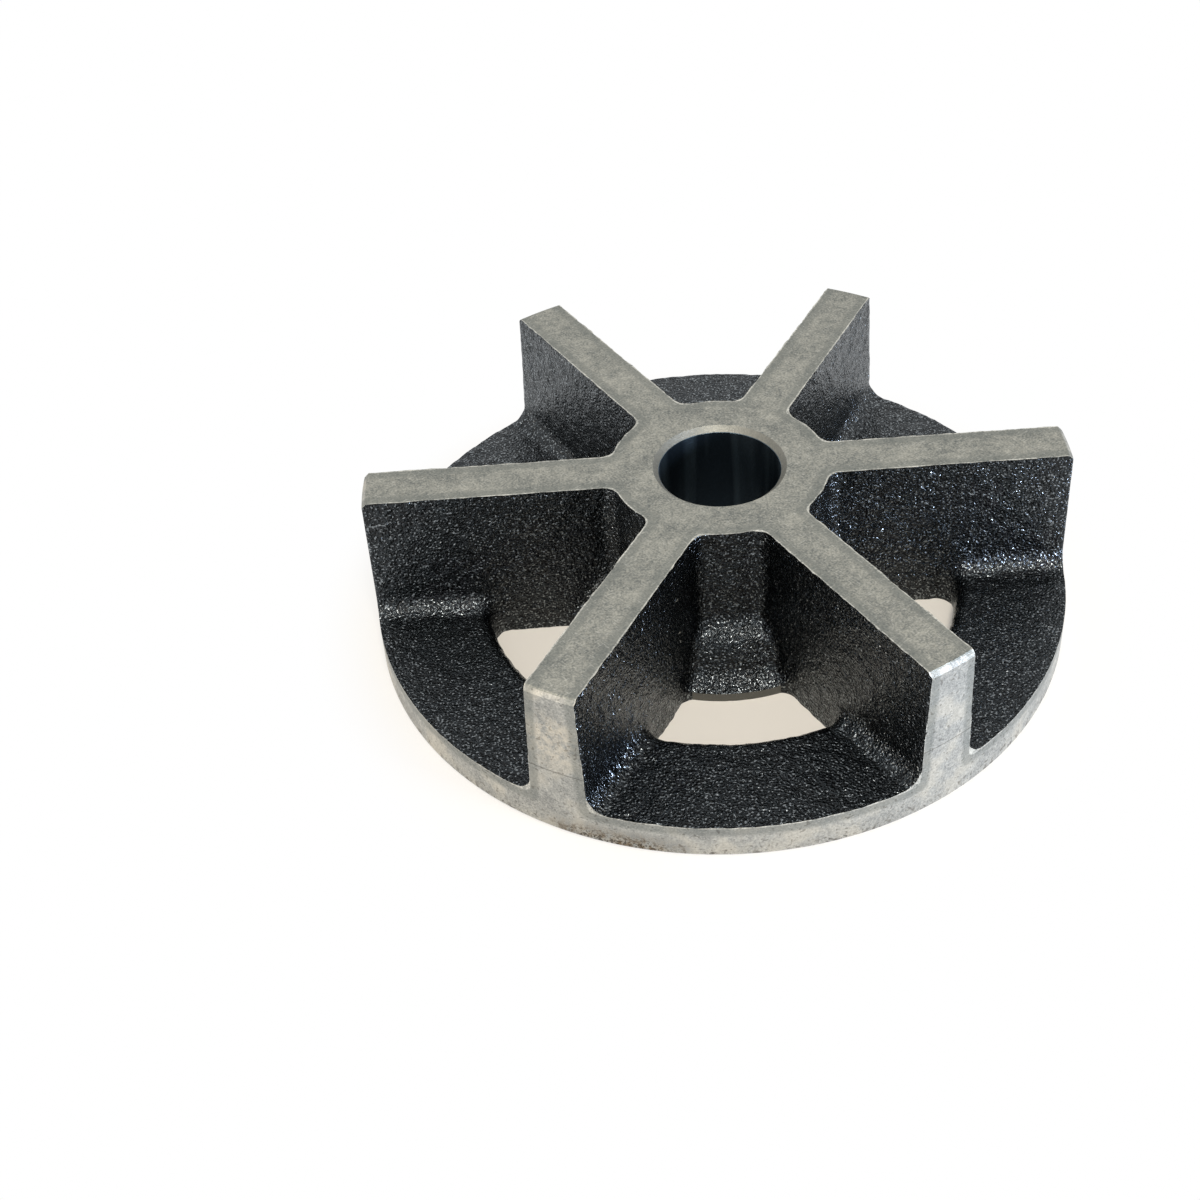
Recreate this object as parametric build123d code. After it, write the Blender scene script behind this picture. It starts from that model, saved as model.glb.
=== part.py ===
import math
import os

from build123d import *

# Pump impeller: one grey iron casting with six straight vanes, turned and faced.
# Lengths are in millimetres. The bore runs along Z, the machined back face is at Z = 0,
# and the first vane points along +X.

# Overall sizes
outer_diameter = 92.0
height = 22.4
plate_thickness = 4.8
rim_edge_break = 0.3

# Bore for the pump shaft, a press fit on a 5/8 inch shaft
bore_diameter = 15.88
bore_chamfer = 0.75

# Draft of the vane sides and the hub wall, which lets the pattern out of the sand
casting_draft = 2.0

# Vanes: their thickness is measured at the machined front face
vane_count = 6
vane_thickness = 6.58
vane_tip_chamfer = 0.6

# Hub wall, measured at the front face, and its rounded inside corners with the vanes
hub_radius = 14.2
hub_corner_radius = 2.0

# Foot of the hub: a shoulder, a steeper wall below it, and a turned flange at the back face
shoulder_height = 8.2
shoulder_drop = 1.3
shoulder_width = 2.2
shoulder_fillet = 3.0
foot_round = 1.5
foot_lean = 1.6
foot_low_height = 2.4
foot_fillet = 2.4
flange_reach = 2.1
flange_thickness = 1.25

# Windows through the back plate: their outer wall, its draft, and the rounded edge above it
window_outer_radius = 31.4
window_draft = 6.0
window_edge_round = 1.8

# Rounded foot between a vane and the rim, which also runs down the window's outer corners
vane_foot_fillet = 2.6

# How far the cutting solids reach past the casting
overrun = 2.0

outer_radius = outer_diameter / 2
bore_radius = bore_diameter / 2
half_vane = vane_thickness / 2
pitch = 360 / vane_count
draft_slope = math.tan(math.radians(casting_draft))


def corner(sketch, x, y):
    return sketch.vertices().filter_by(lambda v: abs(v.X - x) < 1e-4 and abs(v.Y - y) < 1e-4)


# Turned blank: the outside of the casting before the pockets, with the bore through it
with BuildSketch(Plane.XZ) as blank_section:
    with BuildLine():
        Polyline(
            (bore_radius + bore_chamfer, 0),
            (outer_radius - rim_edge_break, 0),
            (outer_radius, rim_edge_break),
            (outer_radius, height - vane_tip_chamfer),
            (outer_radius - vane_tip_chamfer, height),
            (bore_radius + bore_chamfer, height),
            (bore_radius, height - bore_chamfer),
            (bore_radius, bore_chamfer),
            close=True,
        )
    make_face()
blank = revolve(blank_section.sketch, Axis.Z)

# Hub with its foot, as a solid to keep out of the pockets
hub_top_radius = hub_radius - overrun * draft_slope
shoulder_radius = hub_radius + (height - shoulder_height) * draft_slope
foot_top_radius = shoulder_radius + shoulder_width
foot_low_radius = foot_top_radius + foot_lean
flange_radius = foot_low_radius + flange_reach
with BuildSketch(Plane.XZ) as hub_section:
    with BuildLine():
        Polyline(
            (0, -overrun),
            (flange_radius, -overrun),
            (flange_radius, flange_thickness),
            (foot_low_radius, foot_low_height),
            (foot_top_radius, shoulder_height - shoulder_drop),
            (shoulder_radius, shoulder_height),
            (hub_top_radius, height + overrun),
            (0, height + overrun),
            close=True,
        )
    make_face()
    fillet(corner(hub_section, shoulder_radius, shoulder_height), shoulder_fillet)
    fillet(corner(hub_section, foot_top_radius, shoulder_height - shoulder_drop), foot_round)
    fillet(corner(hub_section, foot_low_radius, foot_low_height), foot_fillet)
hub = revolve(hub_section.sketch, Axis.Z)

# Rim of the back plate outside the windows, rounded over towards them
window_slope = math.tan(math.radians(window_draft))
window_top_radius = window_outer_radius + plate_thickness * window_slope
window_low_radius = window_outer_radius - overrun * window_slope
far_radius = outer_radius + 10 * overrun
with BuildSketch(Plane.XZ) as rim_section:
    with BuildLine():
        Polyline(
            (window_low_radius, -overrun),
            (far_radius, -overrun),
            (far_radius, plate_thickness),
            (window_top_radius, plate_thickness),
            close=True,
        )
    make_face()
    fillet(corner(rim_section, window_top_radius, plate_thickness), window_edge_round)
rim = revolve(rim_section.sketch, Axis.Z)

# Space between the first two vanes: a slab cut by both drafted vane sides
full_height = height + 2 * overrun
base = (Align.CENTER, Align.CENTER, Align.MIN)
slab = Pos(0, 0, -overrun) * Cylinder(far_radius + overrun, full_height, align=base)
first_side = Plane(origin=(0, half_vane, height), x_dir=(1, 0, 0), z_dir=(0, 1, draft_slope))
cos_pitch = math.cos(math.radians(pitch))
sin_pitch = math.sin(math.radians(pitch))
second_side = Plane(
    origin=(half_vane * sin_pitch, -half_vane * cos_pitch, height),
    x_dir=(cos_pitch, sin_pitch, 0),
    z_dir=(sin_pitch, -cos_pitch, draft_slope),
)
between = split(slab, bisect_by=first_side, keep=Keep.TOP)
between = split(between, bisect_by=second_side, keep=Keep.TOP)

# Rounded corner between hub and vane: a drafted post, as round as the corner, is left out of a wedge of metal.
# Hub, vane and post share one draft, so the post touches both walls all the way down.
post_y = half_vane + hub_corner_radius
post_reach = hub_radius + hub_corner_radius
post_x = math.sqrt(post_reach**2 - post_y**2)
post_top = hub_corner_radius + overrun * draft_slope
post_base = hub_corner_radius - (height + overrun) * draft_slope
post = Pos(post_x, post_y, -overrun) * Cone(post_base, post_top, full_height, align=base)
inward = 1 - 2 * hub_corner_radius / post_reach
with BuildSketch(Plane.XY.offset(-overrun)) as wedge_outline:
    with BuildLine():
        Polyline(
            (post_x, post_y),
            (post_x, 0),
            (post_x * inward, 0),
            (post_x * inward, post_y * inward),
            close=True,
        )
    make_face()
first_corner = extrude(wedge_outline.sketch, full_height) - post
second_corner = Rot(0, 0, pitch) * mirror(first_corner, about=Plane.XZ)
pocket = (between - hub - first_corner - second_corner - rim).solids().sort_by(SortBy.VOLUME)[-1]


# Rounded foot of the pocket along the rim and down the window's corners, on both vane sides
def beside_rim(edge):
    middle = edge.center()
    radius = math.hypot(middle.X, middle.Y)
    off_centre = abs(math.degrees(math.atan2(middle.Y, middle.X)) - pitch / 2)
    inside = -overrun + 0.01 < middle.Z < height + overrun - 0.01
    between_walls = (flange_radius + window_outer_radius) / 2 < radius < far_radius - 1
    return inside and between_walls and off_centre > 1 and edge.geom_type != GeomType.CIRCLE


pocket = pocket.fillet(vane_foot_fillet, [edge for edge in pocket.edges() if beside_rim(edge)])

# Casting: the blank with all the pockets taken out
impeller = blank
for index in range(vane_count):
    impeller = impeller - Rot(0, 0, index * pitch) * pocket
impeller = impeller.solids()[0]

os.makedirs("parts", exist_ok=True)
export_step(impeller, "parts/impeller.step")
print("volume mm3", round(impeller.volume), "mass g", round(impeller.volume * 7.2e-3), "valid", impeller.is_valid)
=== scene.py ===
import math

import bpy
import numpy as np
from mathutils import Matrix, Vector


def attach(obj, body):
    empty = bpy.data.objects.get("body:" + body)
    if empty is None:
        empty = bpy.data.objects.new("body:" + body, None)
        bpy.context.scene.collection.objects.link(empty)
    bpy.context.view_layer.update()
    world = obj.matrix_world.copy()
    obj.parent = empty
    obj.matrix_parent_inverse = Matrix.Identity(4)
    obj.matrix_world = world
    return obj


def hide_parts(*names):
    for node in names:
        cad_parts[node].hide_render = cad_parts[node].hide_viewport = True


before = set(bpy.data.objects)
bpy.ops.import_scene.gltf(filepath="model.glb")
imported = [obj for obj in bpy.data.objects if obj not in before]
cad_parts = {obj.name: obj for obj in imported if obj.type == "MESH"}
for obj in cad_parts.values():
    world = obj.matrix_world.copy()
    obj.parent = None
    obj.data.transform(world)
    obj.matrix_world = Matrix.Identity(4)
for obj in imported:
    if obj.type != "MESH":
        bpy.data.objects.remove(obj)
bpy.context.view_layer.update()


# Colours and nodes


def linearFromHex(code, alpha=1.0):
    # an sRGB hex colour turned to linear light
    parts = [int(code[i : i + 2], 16) / 255 for i in (1, 3, 5)]
    return tuple(p / 12.92 if p <= 0.04045 else ((p + 0.055) / 1.055) ** 2.4 for p in parts) + (alpha,)


def addNode(tree, kind, sockets=None, **settings):
    # one node with its settings; a socket gets a value, or a link from another node's output
    node = tree.nodes.new(kind)
    for name, value in settings.items():
        setattr(node, name, value)
    for name, value in (sockets or {}).items():
        if isinstance(value, bpy.types.NodeSocket):
            tree.links.new(value, node.inputs[name])
        else:
            node.inputs[name].default_value = value
    return node


def newMaterial(name):
    # a material with an empty node tree
    material = bpy.data.materials.new(name)
    material.use_nodes = True
    material.node_tree.nodes.clear()
    return material, material.node_tree


# The casting, in millimetres, with the sizes of the part's source. A rounded corner is a pair: its radius,
# and by how many degrees the surface turns there.
casting = {
    "outerRadius": 46.0,
    "height": 22.4,
    "plate": 4.8,
    "rimBreak": 0.3,
    "boreRadius": 7.94,
    "boreChamfer": 0.75,
    "draft": 2.0,  # degrees, on vane sides and hub wall
    "halfVane": 3.29,
    "tipChamfer": 0.6,
    "hubRadius": 14.2,
    "hubCorner": (2.0, 77),
    "shoulderHeight": 8.2,
    "shoulderDrop": 1.3,
    "shoulderWidth": 2.2,
    "shoulderFillet": (3.0, 57),
    "footRound": (1.5, 40),
    "footLean": 1.6,
    "footLowHeight": 2.4,
    "footFillet": (2.4, 42),
    "flangeReach": 2.1,
    "flangeThickness": 1.25,
    "flangeStep": 0.13,  # the turned flange stands this far proud of the raw iron above it
    "windowRadius": 31.4,
    "windowDraft": 6.0,  # degrees
    "windowRound": (1.8, 84),
    "vaneFoot": (2.6, 88),
    "vaneEndOver": 0.3,  # the raw vane end stood this far outside the turned rim
    "vaneEndRound": (0.9, 90),
    "skin": ((3.1, 0.03), (1.3, 0.05), (0.8, 0.085)),  # lumps of the sand skin: size and height by layer
    "skinTurns": (0.6, 1.1),  # radians: turn of the first layer, and what each further one adds
    "skinSeed": 7,
    # where the skin is lower, by what share, and over what length that fades in: at the vane ends, from so
    # far inside the rim and above the plate, and at the flange, up to so far above and outside it
    "wornEnds": {"inside": 1.4, "over": 1.0, "above": 1.5, "overHeight": 1.5, "share": 0.6},
    "smoothFlange": {"above": 0.7, "over": 0.5, "outside": 0.4, "share": 0.9},
    "meshStep": 0.3,
    "triangles": 190000,
}
draftSlope = math.tan(math.radians(casting["draft"]))
shoulderDepth = casting["height"] - casting["shoulderHeight"]
casting["shoulderRadius"] = casting["hubRadius"] + shoulderDepth * draftSlope
casting["footTopRadius"] = casting["shoulderRadius"] + casting["shoulderWidth"]
casting["footLowRadius"] = casting["footTopRadius"] + casting["footLean"]
casting["flangeRadius"] = casting["footLowRadius"] + casting["flangeReach"]


def roundUnion(a, b, radius, turn):
    # Two distances joined with a rounded inside corner. Rounding begins at radius x (1 - cosine of turn).
    # The result is the larger of that and the smaller distance, less the root of the summed squares of
    # what each distance falls short of it.
    begin = radius * (1 - math.cos(math.radians(turn)))
    inner = np.sqrt(np.maximum(begin - a, 0) ** 2 + np.maximum(begin - b, 0) ** 2)
    return np.maximum(begin, np.minimum(a, b)) - inner


def roundCut(a, b, radius, turn):
    # what two distances share, with a rounded outside corner: minus the rounded union of their opposites
    return -roundUnion(-a, -b, radius, turn)


def slopedLine(r, z, start, end):
    # distance in the turned section from the line through two (r, z) points, positive outside and above:
    # the cross product of the line's direction with the offset from its start, over the line's length
    dr, dz = end[0] - start[0], end[1] - start[1]
    size = math.hypot(dr, dz)
    return ((r - start[0]) * -dz + (z - start[1]) * dr) / size


def blankFaces(r, z, c=casting):
    # Distances to the turned blank's outside, flat faces, bore and chamfers, positive outside the metal:
    # the offset along r or z, or for a 45 degree chamfer both offsets added, times the root of a half
    diagonal = math.sqrt(0.5)
    return [
        r - c["outerRadius"],
        z - c["height"],
        -z,
        c["boreRadius"] - r,
        (z - c["height"] - (r - c["boreRadius"]) + c["boreChamfer"]) * diagonal,
        (-z - (r - c["boreRadius"]) + c["boreChamfer"]) * diagonal,
        (r - c["outerRadius"] + z - c["height"] + c["tipChamfer"]) * diagonal,
        (r - c["outerRadius"] - z + c["rimBreak"]) * diagonal,
    ]


def flangeFaces(r, z, c=casting):
    # distances to the turned flange at the hub's foot: its outside and its upper face
    return [r - c["flangeRadius"], z - c["flangeThickness"]]


# Outward directions of those ten faces in the turned section: share along the radius, share along the bore
turnedFaces = np.array(
    [(1, 0), (0, 1), (0, -1), (-1, 0), (-1, 1), (-1, -1), (1, 1), (1, -1), (1, 0), (0, 1)], float
)
turnedFaces /= np.linalg.norm(turnedFaces, axis=1, keepdims=True)


def largest(faces):
    # the largest of several distances: what all of the faces enclose
    field = faces[0]
    for face in faces[1:]:
        field = np.maximum(field, face)
    return field


def castField(x, y, z, c=casting):
    # Distance to the raw vanes, hub and rim, joined with rounded corners. Every sixth of a turn is folded
    # onto one vane: fold is the angle from the nearest vane's middle plane, along and side are the radius
    # times its cosine and sine, and each drafted wall moves out by its depth times the draft's slope.
    across = math.cos(math.radians(c["draft"]))
    pitch = math.pi / 3
    r = np.hypot(x, y)
    turn = np.arctan2(y, x)
    fold = np.abs(turn - np.round(turn / pitch) * pitch)
    along, side = r * np.cos(fold), r * np.sin(fold)
    down = c["height"] - z

    vaneSide = (side - c["halfVane"] - down * draftSlope) * across
    vane = roundCut(vaneSide, along - c["outerRadius"] - c["vaneEndOver"], *c["vaneEndRound"])

    wall = (r - c["hubRadius"] - down * draftSlope) * across
    shoulder = (c["shoulderRadius"], c["shoulderHeight"])
    footTop = (c["footTopRadius"], c["shoulderHeight"] - c["shoulderDrop"])
    footLow = (c["footLowRadius"], c["footLowHeight"])
    flange = (c["flangeRadius"], c["flangeThickness"])
    overShoulder = slopedLine(r, z, shoulder, footTop)
    foot = roundCut(overShoulder, slopedLine(r, z, footTop, footLow), *c["footRound"])
    flare = np.maximum(slopedLine(r, z, footLow, flange), r - c["flangeRadius"] + c["flangeStep"])
    hub = roundUnion(wall, foot, *c["shoulderFillet"])
    hub = roundUnion(hub, flare, *c["footFillet"])

    windowSlope = math.tan(math.radians(c["windowDraft"]))
    windowWall = c["windowRadius"] + z * windowSlope - r
    rim = roundCut(z - c["plate"], windowWall, *c["windowRound"])

    field = roundUnion(vane, hub, *c["hubCorner"])
    return roundUnion(field, rim, *c["vaneFoot"])


latticeSide = 64
lattice = np.random.default_rng(casting["skinSeed"]).random((latticeSide,) * 3).astype(np.float32) * 2 - 1


def smoothNoise(x, y, z, size):
    # Random values on a lattice of this size, blended between the eight corners around a place: with t as
    # the way along an axis, the share of the far corner is 3 t squared less 2 t cubed.
    shift = 31.7  # cells, so that no plane of the lattice passes through the bore's axis
    corners, ramps = [], []
    for along in (x, y, z):
        cells = along / size + shift
        low = np.floor(cells)
        part = cells - low
        ramps.append(part * part * (3 - 2 * part))
        corners.append(low.astype(np.int32))
    value = 0
    for far in np.ndindex(2, 2, 2):
        shares = [ramp if isFar else 1 - ramp for ramp, isFar in zip(ramps, far)]
        spot = tuple((low + isFar) % latticeSide for low, isFar in zip(corners, far))
        value = value + shares[0] * shares[1] * shares[2] * lattice[spot]
    return value


def skinHeight(x, y, z, c=casting):
    # Sand skin: the sum of the layers' smooth noise, each layer turned about the bore and then tilted, so
    # that their lattices don't line up, times what is left of it near the vane ends and the flange
    total = 0
    firstTurn, nextTurn = c["skinTurns"]
    for index, (size, height) in enumerate(c["skin"]):
        angle = firstTurn + nextTurn * index
        cosine, sine = math.cos(angle), math.sin(angle)
        u, v = x * cosine - y * sine, x * sine + y * cosine
        w, u = z * cosine - u * sine, z * sine + u * cosine
        total = total + height * smoothNoise(u, v, w, size)
    ends, smooth = c["wornEnds"], c["smoothFlange"]
    r = np.hypot(x, y)
    worn = np.clip((r - c["outerRadius"] + ends["inside"]) / ends["over"], 0, 1)
    worn = worn * np.clip((z - c["plate"] - ends["above"]) / ends["overHeight"], 0, 1)
    nearFlange = np.clip((c["flangeThickness"] + smooth["above"] - z) / smooth["over"], 0, 1)
    nearFlange = nearFlange * (r < c["flangeRadius"] + smooth["outside"])
    return total * (1 - ends["share"] * worn) * (1 - smooth["share"] * nearFlange)


def machinedField(cast, r, z):
    # the larger of the blank's distance and the smaller of the cast and flange distances: where the cutters
    # passed, their faces stand, and the pockets between keep the raw walls
    return np.maximum(largest(blankFaces(r, z)), np.minimum(cast, largest(flangeFaces(r, z))))


def solidField(x, y, z):
    # distance to the finished casting, whose pocket walls carry the sand skin
    cast = castField(x, y, z) - skinHeight(x, y, z)
    return machinedField(cast, np.hypot(x, y), z)


def crossPoints(origin, axis, f0, f1, step):
    # Where the surface cuts the grid edges that start at these origins and run along one axis, by the rule
    # of false position, used three times, and its outward direction there, from the differences of the
    # field over a short way to each side.
    keepOff = 0.02  # share of the bracket at either end that the next guess stays out of
    part = (f0 / (f0 - f1)).astype(float)
    low, high = np.zeros(len(origin)), np.ones(len(origin))
    for _ in range(3):
        place = origin.copy()
        place[:, axis] += part * step
        value = solidField(*place.T)
        same = (value < 0) == (f0 < 0)
        low, high = np.where(same, part, low), np.where(same, high, part)
        f0, f1 = np.where(same, value, f0), np.where(same, f1, value)
        part = low + (high - low) * np.clip(f0 / (f0 - f1 + 1e-12), keepOff, 1 - keepOff)
    place = origin.copy()
    place[:, axis] += part * step
    shortWay = 0.012  # mm
    outward = np.empty_like(place)
    for k in range(3):
        ahead, behind = place.copy(), place.copy()
        ahead[:, k] += shortWay
        behind[:, k] -= shortWay
        outward[:, k] = solidField(*ahead.T) - solidField(*behind.T)
    outward /= np.linalg.norm(outward, axis=1, keepdims=True) + 1e-12
    return place, outward


def fitPoints(where, total, points, normals, step):
    # One point for each cell. From the middle of its cuts it moves to where the squared distances from
    # their tangent planes add up to the least, with a weak pull back and a limit.
    pull = 0.08
    farthest = 0.9 * step

    def gather(values):
        return np.bincount(where, weights=values, minlength=total)

    number = gather(np.ones(len(where)))
    middle = np.stack([gather(points[:, k]) for k in range(3)], 1) / number[:, None]
    offset = np.einsum("ij,ij->i", normals, points - middle[where])
    matrix = np.empty((total, 3, 3))
    right = np.empty((total, 3))
    for i in range(3):
        right[:, i] = gather(normals[:, i] * offset)
        for j in range(i, 3):
            matrix[:, i, j] = matrix[:, j, i] = gather(normals[:, i] * normals[:, j])
    matrix += np.eye(3) * pull
    move = np.linalg.solve(matrix, right[:, :, None])[:, :, 0]
    size = np.linalg.norm(move, axis=1, keepdims=True)
    move *= np.minimum(1, farthest / np.maximum(size, 1e-9))
    return middle + move


def contourCasting(c=casting):
    # Dual contouring: each grid cell that the surface crosses gets one point, placed to fit the tangent
    # planes at the cuts of its edges, and each cut edge joins its four cells in a face.
    step = c["meshStep"]
    outside, below, above = 2.2, 2.3, 2.6  # steps of free space around the casting
    offset, offsetUp = 0.013, 0.017  # mm, so that the grid's planes miss the casting's own planes
    nearWall = 0.7  # mm; the skin is worked out only this near the raw walls
    reach = c["outerRadius"] + outside * step
    gridX = np.arange(-reach, reach + step, step) + offset
    gridZ = np.arange(-below * step, c["height"] + above * step, step) + offsetUp
    x = gridX[:, None, None].astype(np.float32)
    y = gridX[None, :, None].astype(np.float32)
    z = gridZ[None, None, :].astype(np.float32)
    cast = castField(x, y, z)
    near = np.nonzero(np.abs(cast) < nearWall)
    cast[near] -= skinHeight(gridX[near[0]], gridX[near[1]], gridZ[near[2]]).astype(np.float32)
    field = machinedField(cast, np.hypot(x, y), z)
    print("field on a grid of", field.shape)

    inside = field < 0
    counts = np.array(field.shape)
    strides = np.array([counts[1] * counts[2], counts[2], 1])
    flat = field.reshape(-1)
    cellIds, points, normals, quads, flips = [], [], [], [], []
    for axis in range(3):
        head = [slice(None)] * 3
        tail = [slice(None)] * 3
        head[axis], tail[axis] = slice(0, -1), slice(1, None)
        cut = np.argwhere(inside[tuple(head)] != inside[tuple(tail)])
        start = cut @ strides
        origin = np.stack([gridX[cut[:, 0]], gridX[cut[:, 1]], gridZ[cut[:, 2]]], 1)
        place, outward = crossPoints(origin, axis, flat[start], flat[start + strides[axis]], step)
        a, b = (strides[k] for k in range(3) if k != axis)
        ring = np.stack([start, start - a, start - a - b, start - b], 1)
        solidFirst = inside.reshape(-1)[start]
        quads.append(ring)
        flips.append(solidFirst if axis != 1 else ~solidFirst)
        cellIds.append(ring.reshape(-1))
        points.append(np.repeat(place, 4, 0))
        normals.append(np.repeat(outward, 4, 0))
    quads, flips = np.concatenate(quads), np.concatenate(flips)
    ids, where = np.unique(np.concatenate(cellIds), return_inverse=True)
    print("cells on the surface", len(ids))
    points, normals = np.concatenate(points), np.concatenate(normals)
    fitted = fitPoints(where.reshape(-1), len(ids), points, normals, step)
    wound = np.where(flips[:, None], quads, quads[:, ::-1])
    return fitted, np.searchsorted(ids, wound)


def meshFromArrays(name, vertices, faces):
    # a mesh of faces that all have the same number of sides
    mesh = bpy.data.meshes.new(name)
    mesh.vertices.add(len(vertices))
    mesh.vertices.foreach_set("co", np.ascontiguousarray(vertices, np.float32).reshape(-1))
    sides = faces.shape[1]
    mesh.loops.add(faces.size)
    mesh.loops.foreach_set("vertex_index", faces.reshape(-1).astype(np.int32))
    mesh.polygons.add(len(faces))
    mesh.polygons.foreach_set("loop_start", np.arange(0, faces.size, sides, dtype=np.int32))
    mesh.update(calc_edges=True)
    mesh.validate()
    return mesh


def faceArrays(mesh):
    # points, corner indices and centres of a mesh of triangles
    co = np.empty(len(mesh.vertices) * 3, np.float32)
    mesh.vertices.foreach_get("co", co)
    co = co.reshape(-1, 3).astype(float)
    corner = np.empty(len(mesh.loops), np.int32)
    mesh.loops.foreach_get("vertex_index", corner)
    corner = corner.reshape(-1, 3)
    return co, corner, co[corner].mean(1)


vertices, faces = contourCasting()
fine = meshFromArrays("impeller_fine", vertices / 1000, faces)
fineObject = bpy.data.objects.new("impeller_fine", fine)
bpy.context.scene.collection.objects.link(fineObject)
thin = fineObject.modifiers.new("Decimate", "DECIMATE")
thin.ratio = min(1.0, casting["triangles"] / (2 * len(faces)))
thin.use_collapse_triangulate = True
depsgraph = bpy.context.evaluated_depsgraph_get()
mesh = bpy.data.meshes.new_from_object(fineObject.evaluated_get(depsgraph))
bpy.data.objects.remove(fineObject)
bpy.data.meshes.remove(fine)
mesh.name = "impeller_casting"
print("casting mesh triangles", len(mesh.polygons))

# Points that thinning moved out of the blank, by hundredths of a millimetre, go back onto its faces
co, corner, centre = faceArrays(mesh)
fromAxis = np.hypot(co[:, 0], co[:, 1])
co[:, :2] *= np.minimum(1, casting["outerRadius"] / 1000 / np.maximum(fromAxis, 1e-9))[:, None]
co[:, 2] = np.clip(co[:, 2], 0, casting["height"] / 1000)
mesh.vertices.foreach_set("co", co.astype(np.float32).reshape(-1))
mesh.update()

# Machined or cast: a face belongs to whichever surface its centre lies nearest to
cx, cy, cz = (centre * 1000).T
radius = np.hypot(cx, cy)
toTurned = np.abs(np.stack(blankFaces(radius, cz) + flangeFaces(radius, cz)))
whichTurned = toTurned.argmin(0)
toCast = np.abs(castField(cx, cy, cz) - skinHeight(cx, cy, cz))
machined = toTurned.min(0) <= toCast
mesh.polygons.foreach_set("material_index", machined.astype(np.int32))
mesh.polygons.foreach_set("use_smooth", np.ones(len(mesh.polygons), bool))

# Edges stay sharp between the two finishes and between one turned face and the next
edgeOf = np.empty(len(mesh.loops), np.int32)
mesh.loops.foreach_get("edge_index", edgeOf)
owner = np.repeat(np.arange(len(mesh.polygons)), 3)
byEdge = np.argsort(edgeOf, kind="stable")
edgeSorted, ownerSorted = edgeOf[byEdge], owner[byEdge]
pair = np.nonzero(edgeSorted[1:] == edgeSorted[:-1])[0]
one, two, edge = ownerSorted[pair], ownerSorted[pair + 1], edgeSorted[pair]
finish = np.where(machined, whichTurned + 1, 0)
sharp = np.zeros(len(mesh.edges), bool)
sharp[edge] = finish[one] != finish[two]
mesh.attributes.new("sharp_edge", "BOOLEAN", "EDGE").data.foreach_set("value", sharp)
print("machined share of the faces", round(float(machined.mean()), 3), "sharp edges", int(sharp.sum()))

# Turned faces shade as true cylinders, cones and planes; zeros leave the cast faces their own normals
loopPoint = co[corner.reshape(-1)]
outward = loopPoint[:, :2] / np.maximum(np.hypot(loopPoint[:, 0], loopPoint[:, 1]), 1e-6)[:, None]
section = turnedFaces[whichTurned[owner]]
loopNormal = np.concatenate([outward * section[:, :1], section[:, 1:]], 1) * machined[owner][:, None]
mesh.normals_split_custom_set(loopNormal.astype(np.float32))

impeller = bpy.data.objects.new("impeller_casting", mesh)
bpy.context.scene.collection.objects.link(impeller)


# Grey iron as cast and shot-blasted: bare metal peaks that sparkle where they face the light, over
# near-black oxide in the hollows, under a thin oil film. A wall looks black in the pockets and light grey
# where it reflects the white around it, more so at a low angle.
castIron = {
    "hollow": "#07090b",
    "peak": "#2b3135",
    "rust": "#191817",
    "speck": "#959b9e",
    "edge": "#ebeef0",  # tint of what the metal reflects at a low angle
    "grain": 0.32,  # mm, size of the marks of the shot
    "specksPerGrain": 1.15,
    "rustPerMetre": 190.0,
    "bump": 0.00022,  # metres
    "roughness": (0.18, 0.3),  # on the peaks and in the hollows
    "film": (0.42, 0.2),  # weight and roughness of the oil film
}


def makeCastIron(d=castIron):
    material, tree = newMaterial("grey iron, shot-blasted sand casting")
    place = addNode(tree, "ShaderNodeTexCoord").outputs["Object"]
    grainsPerMetre = 1000 / d["grain"]

    # Noises, each brought to a mask between two limits: marks per metre, detail, limits, strength
    noises, masks = {}, {}
    for name, scale, detail, low, high, top in (
        ("peak", grainsPerMetre, 1.0, 0.36, 0.66, 1.0),
        ("rust", d["rustPerMetre"], 4.0, 0.5, 0.72, 0.35),
        ("speck", grainsPerMetre * d["specksPerGrain"], 0.0, 0.61, 0.71, 0.65),
    ):
        sockets = {"Vector": place, "Scale": scale, "Detail": detail, "Roughness": 0.5}
        noises[name] = addNode(tree, "ShaderNodeTexNoise", sockets).outputs["Fac"]
        sockets = {"Value": noises[name], "From Min": low, "From Max": high, "To Max": top}
        masks[name] = addNode(tree, "ShaderNodeMapRange", sockets).outputs[0]

    metal = linearFromHex(d["hollow"])
    for name in ("peak", "rust", "speck"):
        sockets = {0: masks[name], 6: metal, 7: linearFromHex(d[name])}
        metal = addNode(tree, "ShaderNodeMix", sockets, data_type="RGBA").outputs[2]
    onPeak, inHollow = d["roughness"]
    sockets = {"Value": masks["peak"], "To Min": inHollow, "To Max": onPeak}
    gloss = addNode(tree, "ShaderNodeMapRange", sockets)
    sockets = {"Strength": 1.0, "Distance": d["bump"], "Height": noises["peak"]}
    bump = addNode(tree, "ShaderNodeBump", sockets)
    shader = addNode(
        tree,
        "ShaderNodeBsdfPrincipled",
        {
            "Base Color": metal,
            "Metallic": 1.0,
            "Specular Tint": linearFromHex(d["edge"]),
            "Roughness": gloss.outputs["Result"],
            "Normal": bump.outputs["Normal"],
            "Coat Weight": d["film"][0],
            "Coat Roughness": d["film"][1],
            "Coat Normal": bump.outputs["Normal"],
        },
    )
    addNode(tree, "ShaderNodeOutputMaterial", {"Surface": shader.outputs["BSDF"]})
    return material


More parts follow.
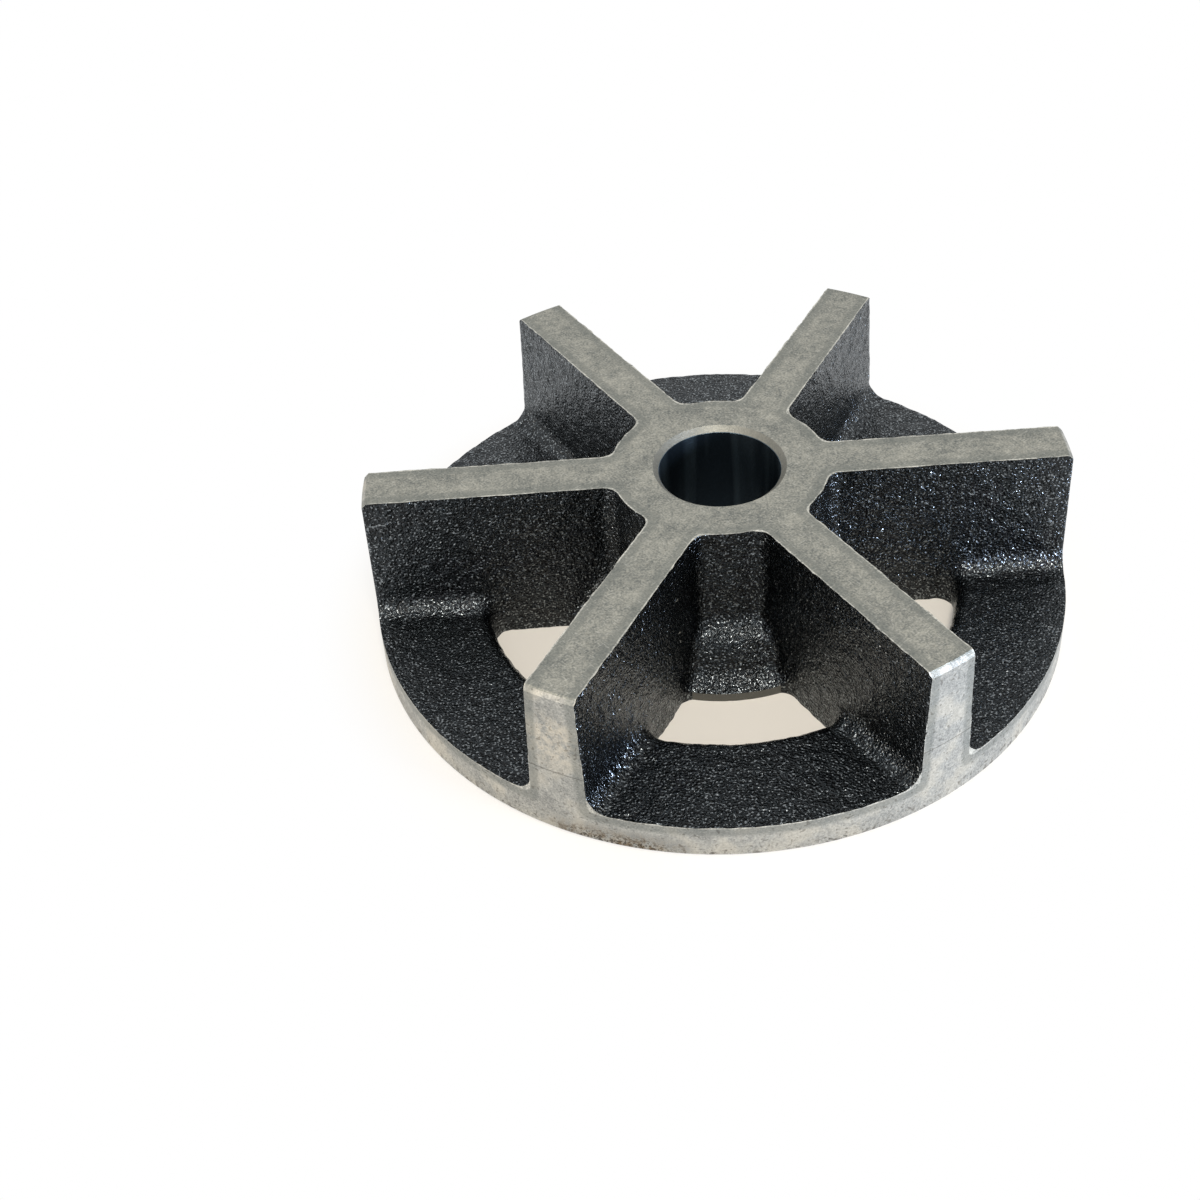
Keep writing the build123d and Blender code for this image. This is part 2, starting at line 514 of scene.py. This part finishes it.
# Grey iron turned, faced and bored: satin and slightly warm, with a bright line along every edge, partly
# burr and partly painted edge highlight, a darker band beside it, and the outside painted lighter than the
# front face, for the brighter reflection it shows
machinedIron = {
    "face": "#6f726e",
    "faceLight": "#aeaca1",
    # painted light: the outside's base colours are lighter than the front face's, for the brighter
    # reflection the turned outside shows
    "turned": "#8e8e8a",
    "turnedLight": "#c4c2ba",
    # painted shade: the bore's darker base stands in for the shade deep inside the bore
    "bore": "#36414a",
    "paintedBoreReflection": "#65757f",
    "chamfer": "#7a7972",
    # painted shade: the flange under the hub's foot is darker
    "flange": "#6a6a66",
    "band": "#777a75",
    # bright line along the edges, partly burr and partly painted edge highlight; also the colour of the
    # face mill's scratches
    "burrAndEdgeHighlight": "#dedcd2",
    "pit": "#3c352c",
    "stain": "#c6bdab",
    "dirt": "#75654f",
    "dirtAt": (-16.6, -42.9, 0.6),  # mm; the brown stain low on the front of the rim
    "blotch": "#dcd1bd",
    "blotchAt": (-23.2, -39.7, 15.0),  # mm; the beige blotches on the end of the left front vane
    "mottle": 0.9,  # mm
    "cloud": 4.5,  # mm
    "fine": 0.28,  # mm; the real grain of the cut iron is finer, and is drawn as coarse as it needs to show
    "stroke": 0.17,  # mm across one scratch of the face mill
    "bandWidth": 1.3,  # mm
    "edgeLineWidth": 0.1,  # mm
    "pore": 0.45,  # mm
    "streak": 3.6,  # mm across a painted reflection streak in the bore
    "bump": 0.00003,  # metres
    "toolLine": 9.96,  # mm up the vane ends, where the turning tool was set twice
    "roughness": (0.55, 0.42),  # on the faces and in the bore
}


def makeMachinedIron(d=machinedIron, c=casting):
    material, tree = newMaterial("grey iron, turned and faced")
    place = addNode(tree, "ShaderNodeTexCoord").outputs["Object"]
    sockets = {0: place, "Scale": 1000.0}
    inMillimetres = addNode(tree, "ShaderNodeVectorMath", sockets, operation="SCALE").outputs["Vector"]
    axes = addNode(tree, "ShaderNodeSeparateXYZ", {0: inMillimetres}).outputs
    sockets = {0: inMillimetres, 1: (1, 1, 0)}
    flatPlace = addNode(tree, "ShaderNodeVectorMath", sockets, operation="MULTIPLY").outputs["Vector"]
    fromBore = addNode(tree, "ShaderNodeVectorMath", {0: flatPlace}, operation="LENGTH").outputs["Value"]

    # Values by name: each table below makes some, out of numbers and of the values named before
    known = {"x": axes[0], "y": axes[1], "z": axes[2], "radius": fromBore}
    for name, spot in (("fromDirt", d["dirtAt"]), ("fromBlotch", d["blotchAt"])):
        sockets = {0: inMillimetres, 1: spot}
        known[name] = addNode(tree, "ShaderNodeVectorMath", sockets, operation="DISTANCE").outputs["Value"]

    # Noises: turn about the bore, stretch along each axis, size of a mark in millimetres, detail
    for name, turn, stretch, size, detail in (
        ("mottle", 0, (1, 1, 1), d["mottle"], 5.0),
        ("cloud", 0, (1, 1, 1), d["cloud"], 2.0),
        ("fine", 0, (1, 1, 1), d["fine"], 1.0),
        ("pore", 0, (1, 1, 1), d["pore"], 0.0),
        ("stroke", 0.6, (6, 1, 1), d["stroke"], 1.0),
        ("crossStroke", -0.9, (5, 1, 1), d["stroke"], 1.0),
        ("streak", 0, (1, 1, 14), d["streak"], 2.0),
    ):
        sockets = {"Vector": inMillimetres, "Rotation": (0, 0, turn), "Scale": stretch}
        turned = addNode(tree, "ShaderNodeMapping", sockets, vector_type="TEXTURE").outputs[0]
        sockets = {"Vector": turned, "Scale": 1 / size, "Detail": detail, "Roughness": 0.6}
        known[name] = addNode(tree, "ShaderNodeTexNoise", sockets).outputs["Fac"]

    # Sums, in millimetres: distances from the nearest vane's side, the hub's wall and the rim's top, with
    # the turn folded as in castField, then where each surface is, and how strongly its mask may show. The
    # small lengths added to a radius or a height keep a face's edges in its mask.
    for name, operation, *values in (
        ("turn", "ARCTAN2", "y", "x"),
        ("fold", "PINGPONG", "turn", math.pi / 6),
        ("sine", "SINE", "fold"),
        ("side", "MULTIPLY", "radius", "sine"),
        ("down", "SUBTRACT", c["height"], "z"),
        ("vaneSide", "MULTIPLY_ADD", "down", draftSlope, c["halfVane"]),
        ("hubWall", "MULTIPLY_ADD", "down", draftSlope, c["hubRadius"]),
        ("toVane", "SUBTRACT", "side", "vaneSide"),
        ("toHub", "SUBTRACT", "radius", "hubWall"),
        ("toRim", "SUBTRACT", "z", c["plate"]),
        ("toWall", "SMOOTH_MIN", "toVane", "toHub", c["hubCorner"][0]),
        ("edge", "SMOOTH_MIN", "toWall", "toRim", 2.0),  # less than 0 on the metal that stands
        ("shake", "MULTIPLY_ADD", "mottle", 0.8, -0.4),  # the band's inner edge wanders by up to 0.4
        ("wobble", "ADD", "edge", "shake"),
        ("scratch", "MAXIMUM", "stroke", "crossStroke"),
        ("relief", "MULTIPLY_ADD", "scratch", 0.5, "fine"),
        ("clouds", "MULTIPLY", "cloud", 0.4),
        ("mottled", "MULTIPLY_ADD", "mottle", 0.45, "clouds"),
        ("patches", "MULTIPLY_ADD", "fine", 0.55, "mottled"),
        ("onOutside", "GREATER_THAN", "radius", c["outerRadius"] - 0.45),
        ("bandTop", "MULTIPLY_ADD", "onOutside", 0.05, 0.5),
        ("stainTop", "MULTIPLY", "onOutside", 0.3),
        ("pitTop", "MULTIPLY", "onOutside", 0.6),
        ("poreTop", "MULTIPLY_ADD", "onOutside", 0.25, 0.15),
        ("aboveLine", "SUBTRACT", "z", d["toolLine"]),
        ("fromLine", "ABSOLUTE", "aboveLine"),
        ("byLine", "LESS_THAN", "fromLine", 0.09),
        ("lineTop", "MULTIPLY", "onOutside", 0.4),
        ("onLine", "MULTIPLY", "byLine", "lineTop"),
        ("inBore", "LESS_THAN", "radius", c["boreRadius"] + 0.06),
        ("streakTop", "MULTIPLY", "inBore", 0.9),
        ("byChamfer", "LESS_THAN", "radius", c["boreRadius"] + c["boreChamfer"]),
        ("onChamfer", "MULTIPLY", "byChamfer", 0.75),
        # where the flange under the hub's foot gets its painted shade
        ("underFlange", "LESS_THAN", "z", c["flangeThickness"] + 0.03),
        ("inFlange", "LESS_THAN", "radius", c["flangeRadius"] + 0.1),
        ("onFlangeShade", "MULTIPLY", "underFlange", "inFlange"),
    ):
        sockets = {index: known.get(value, value) for index, value in enumerate(values)}
        known[name] = addNode(tree, "ShaderNodeMath", sockets, operation=operation).outputs[0]

    # Masks: name, the value that it follows, where it starts, where it is full, and its strength there
    for name, source, low, high, top in (
        ("share", "patches", 0.53, 0.87, 1.0),
        ("inBand", "wobble", -d["bandWidth"] - 0.25, -d["bandWidth"] + 0.25, "bandTop"),
        ("onScratch", "scratch", 0.62, 0.76, 0.3),
        ("onBurrAndEdgeHighlight", "edge", -d["edgeLineWidth"] - 0.1, -d["edgeLineWidth"], "share"),
        ("onStain", "cloud", 0.48, 0.62, "stainTop"),
        ("lowEdge", "z", 2.2, 0.3, "pitTop"),
        ("onPit", "mottle", 0.53, 0.6, "lowEdge"),
        ("onPore", "pore", 0.69, 0.75, "poreTop"),
        ("nearBlotch", "fromBlotch", 5.2, 2.2, 0.5),
        ("onBlotch", "mottle", 0.4, 0.58, "nearBlotch"),
        ("nearDirt", "fromDirt", 10.0, 4.0, 0.85),
        ("lowDirt", "z", 3.2, 0.8, "nearDirt"),
        ("onDirt", "mottle", 0.4, 0.6, "lowDirt"),
        ("inDirt", "fine", 0.5, 0.58, "lowDirt"),
        ("inPaintedBoreReflection", "streak", 0.45, 0.65, "streakTop"),
    ):
        sockets = {"Value": known[source], "From Min": low, "From Max": high}
        sockets["To Max"] = known.get(top, top)
        known[name] = addNode(tree, "ShaderNodeMapRange", sockets).outputs[0]

    # Colours: a base for the front face and a lighter one for the outside, painted light for the outside's
    # brighter reflection, then layers, each over the one before
    bases = []
    for dark, light in (("face", "faceLight"), ("turned", "turnedLight")):
        sockets = {0: known["share"], 6: linearFromHex(d[dark]), 7: linearFromHex(d[light])}
        bases.append(addNode(tree, "ShaderNodeMix", sockets, data_type="RGBA").outputs[2])
    sockets = {0: known["onOutside"], 6: bases[0], 7: bases[1]}
    colour = addNode(tree, "ShaderNodeMix", sockets, data_type="RGBA").outputs[2]
    for mask, tint in (
        ("onStain", "stain"),
        ("onBlotch", "blotch"),
        ("inBand", "band"),
        ("onScratch", "burrAndEdgeHighlight"),
        ("onBurrAndEdgeHighlight", "burrAndEdgeHighlight"),
        ("onLine", "pit"),
        ("onPore", "pit"),
        ("onPit", "pit"),
        ("onDirt", "dirt"),
        ("inDirt", "pit"),
        ("onFlangeShade", "flange"),
        ("onChamfer", "chamfer"),
        # painted shade: the bore darker than the faces
        ("inBore", "bore"),
        # painted reflection: light vertical streaks in the bore
        ("inPaintedBoreReflection", "paintedBoreReflection"),
    ):
        sockets = {0: known[mask], 6: colour, 7: linearFromHex(d[tint])}
        colour = addNode(tree, "ShaderNodeMix", sockets, data_type="RGBA").outputs[2]

    onFace, inBore = d["roughness"]
    sockets = {"Value": known["inBore"], "To Min": onFace, "To Max": inBore}
    gloss = addNode(tree, "ShaderNodeMapRange", sockets)
    sockets = {"Strength": 1.0, "Distance": d["bump"], "Height": known["relief"]}
    bump = addNode(tree, "ShaderNodeBump", sockets)
    shader = addNode(
        tree,
        "ShaderNodeBsdfPrincipled",
        {
            "Base Color": colour,
            "Metallic": 1.0,
            "Roughness": gloss.outputs["Result"],
            "Normal": bump.outputs["Normal"],
        },
    )
    addNode(tree, "ShaderNodeOutputMaterial", {"Surface": shader.outputs["BSDF"]})
    return material


mesh.materials.append(makeCastIron())
mesh.materials.append(makeMachinedIron())
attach(impeller, "root")
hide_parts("impeller")
print("materials made")


def seenRays(tree):
    # 1 for rays from the camera, from a reflection or through glass, and 0 for rays that only light
    rays = addNode(tree, "ShaderNodeLightPath").outputs
    seen = rays["Is Camera Ray"]
    for name in ("Is Glossy Ray", "Is Transmission Ray"):
        seen = addNode(tree, "ShaderNodeMath", {0: seen, 1: rays[name]}, operation="MAXIMUM").outputs[0]
    return seen


# Plain pale floor, in metres: it keeps the object's shadow, and further out what is seen of it goes over to
# plain white. It lies just under the back face.
floorSetup = {
    "size": 6.0,
    "drop": 0.00004,
    "colour": "#fff8ec",
    "shaded": 0.034,  # from the bore's axis, up to where the floor shows its own shading
    "white": 0.056,  # from the axis, where plain white starts
    "lift": 0.13,  # share of white inside that
}
half, low = floorSetup["size"] / 2, -floorSetup["drop"]
floorCorners = np.array([(-half, -half, low), (half, -half, low), (half, half, low), (-half, half, low)])
floorMesh = meshFromArrays("floor", floorCorners, np.array([[0, 1, 2, 3]]))
floor = bpy.data.objects.new("floor", floorMesh)
bpy.context.scene.collection.objects.link(floor)
floorMaterial, floorTree = newMaterial("white paper sweep")
onFloor = addNode(floorTree, "ShaderNodeTexCoord").outputs["Object"]
away = addNode(floorTree, "ShaderNodeVectorMath", {0: onFloor}, operation="LENGTH")
whiter = addNode(
    floorTree,
    "ShaderNodeMapRange",
    {
        "Value": away.outputs["Value"],
        "From Min": floorSetup["shaded"],
        "From Max": floorSetup["white"],
        "To Min": floorSetup["lift"],
    },
    interpolation_type="SMOOTHSTEP",
)
sockets = {0: seenRays(floorTree), 1: whiter.outputs[0]}
whiteShare = addNode(floorTree, "ShaderNodeMath", sockets, operation="MULTIPLY").outputs[0]
paper = addNode(floorTree, "ShaderNodeBsdfDiffuse", {"Color": linearFromHex(floorSetup["colour"])})
white = addNode(floorTree, "ShaderNodeEmission", {"Color": (1, 1, 1, 1), "Strength": 1.0})
sockets = {0: whiteShare, 1: paper.outputs["BSDF"], 2: white.outputs["Emission"]}
mixed = addNode(floorTree, "ShaderNodeMixShader", sockets)
addNode(floorTree, "ShaderNodeOutputMaterial", {"Surface": mixed.outputs["Shader"]})
floorMesh.materials.append(floorMaterial)

# World: white where it is seen, softer where it only lights
worldSetup = {"seen": 1.0, "lighting": 0.42}
world = bpy.data.worlds.new("studio")
bpy.context.scene.world = world
world.use_nodes = True
worldTree = world.node_tree
worldTree.nodes.clear()
sockets = {"Value": seenRays(worldTree), "To Min": worldSetup["lighting"], "To Max": worldSetup["seen"]}
strength = addNode(worldTree, "ShaderNodeMapRange", sockets).outputs["Result"]
sky = addNode(worldTree, "ShaderNodeBackground", {"Color": (1, 1, 1, 1), "Strength": strength})
addNode(worldTree, "ShaderNodeOutputWorld", {"Surface": sky.outputs["Background"]})

# Lamps, in metres and watts, all turned to the middle of the back face: a soft box above the camera, a
# cooler one on the right and a warmer one on the left
lamps = [
    {"name": "soft_box", "place": (0.02, -0.36, 0.57), "size": 0.15, "power": 2.5, "colour": "#fff8ec"},
    {"name": "right_box", "place": (0.48, -0.33, 0.09), "size": 0.14, "power": 5.0, "colour": "#d2e2fc"},
    {"name": "left_box", "place": (-0.5, -0.3, 0.13), "size": 0.22, "power": 0.8, "colour": "#fff0dc"},
]
for lamp in lamps:
    data = bpy.data.lights.new(lamp["name"], "AREA")
    data.shape = "SQUARE"
    data.size = lamp["size"]
    data.energy = lamp["power"]
    data.color = linearFromHex(lamp["colour"])[:3]
    box = bpy.data.objects.new(lamp["name"], data)
    bpy.context.scene.collection.objects.link(box)
    toLamp = Vector(lamp["place"])
    box.matrix_world = Matrix.Translation(toLamp) @ toLamp.to_track_quat("Z", "Y").to_matrix().to_4x4()
print("stage and lamps set")

# Camera as found from the photograph: its turn in degrees, its place in millimetres, and its lens and shift
view = {
    "turn": -4.786,  # round the bore, from straight in front of the vane gap
    "tilt": 37.387,  # above the level of the floor
    "roll": -1.022,
    "distance": 249.14,  # from the middle of the back face, along the line of sight
    "aside": 0.485,  # to the right of that line
    "above": 18.369,  # over that line
    "lens": 54.557,  # mm
    "sensor": 36,  # mm wide
    "shift": (-0.10286, -0.11667),
    "nearest": 0.01,  # metres
}
turn, tilt, roll = (math.radians(view[k]) for k in ("turn", "tilt", "roll"))
back = Vector((math.sin(turn) * math.cos(tilt), -math.cos(turn) * math.cos(tilt), math.sin(tilt)))
right = Vector((math.cos(turn), math.sin(turn), 0))
up = back.cross(right)
place = (back * view["distance"] + right * view["aside"] + up * view["above"]) / 1000
turnedRight = right * math.cos(roll) + up * math.sin(roll)
turnedUp = up * math.cos(roll) - right * math.sin(roll)
cameraData = bpy.data.cameras.new("camera")
cameraData.sensor_width = view["sensor"]
cameraData.lens = view["lens"]
cameraData.shift_x, cameraData.shift_y = view["shift"]
cameraData.clip_start = view["nearest"]
camera = bpy.data.objects.new("camera", cameraData)
bpy.context.scene.collection.objects.link(camera)
rotation = Matrix((turnedRight, turnedUp, back)).transposed()
camera.matrix_world = Matrix.Translation(place) @ rotation.to_4x4()
bpy.context.scene.camera = camera
bpy.context.scene.view_settings.view_transform = "Standard"
print("camera set")
